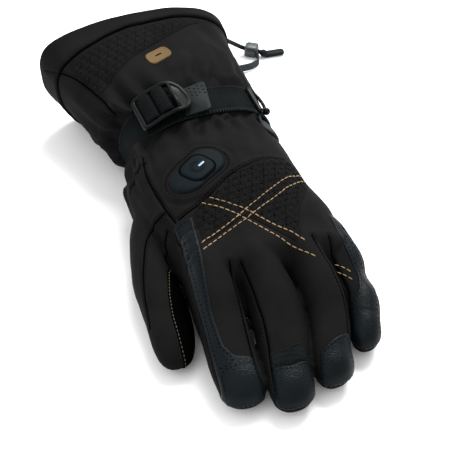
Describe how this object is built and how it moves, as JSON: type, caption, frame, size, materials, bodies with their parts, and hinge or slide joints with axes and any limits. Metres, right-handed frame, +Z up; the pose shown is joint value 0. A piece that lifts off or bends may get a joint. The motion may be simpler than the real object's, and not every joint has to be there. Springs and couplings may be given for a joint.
{
  "type": "heated glove",
  "caption": "Padded left ski glove with gauntlet cuff, ladder buckle wrist strap, leather fingertips and a heating button on the back.",
  "frame": {"origin": "middle of the underside of the glove without its loose drawcord, on the surface it lies on", "axes": "+Z up from the palm to the back of the hand, +Y from the fingertips to the cuff's opening, +X from the thumb to the little finger"},
  "size_m": [0.1895, 0.3544, 0.0756],
  "materials": {
    "cloth": "matt woven softshell",
    "textured_cloth": "quilted and perforated cloth",
    "leather": "pebbled grain",
    "webbing": "woven twill",
    "black_plastic": "satin moulded",
    "grey_plastic": "matt moulded",
    "rubber": "matt moulded rubber",
    "light": "clear window",
    "badge": "bronze-coloured",
    "cord": "braided",
    "grey_tape": "flat woven tape"
  },
  "bodies": {
    "root": {"hand_back": "cloth", "hand_palm": "cloth", "index_stall": "cloth", "middle_stall": "cloth", "ring_stall": "cloth", "little_stall": "cloth", "thumb_stall": "cloth", "cuff_shell": "cloth", "cuff_hem": "cloth", "knuckle_panel": "textured_cloth", "cuff_panel": "textured_cloth", "middle_ribbed_band": "textured_cloth", "index_leather": "leather", "middle_leather_tip": "leather", "ring_leather_tip": "leather", "little_leather": "leather", "thumb_leather": "leather", "wrist_strap": "webbing", "threaded_webbing": "webbing", "hook_webbing": "webbing", "buckle": "black_plastic", "buckle_tab": "grey_plastic", "strap_hook": "black_plastic", "cuff_badge": "badge", "button_housing": "rubber", "power_button": "rubber", "button_light": "light", "drawcord": "cord", "cord_lock": "black_plastic", "cord_pull": "grey_plastic", "ribbon_tether": "grey_tape"}
  },
  "joints": []
}
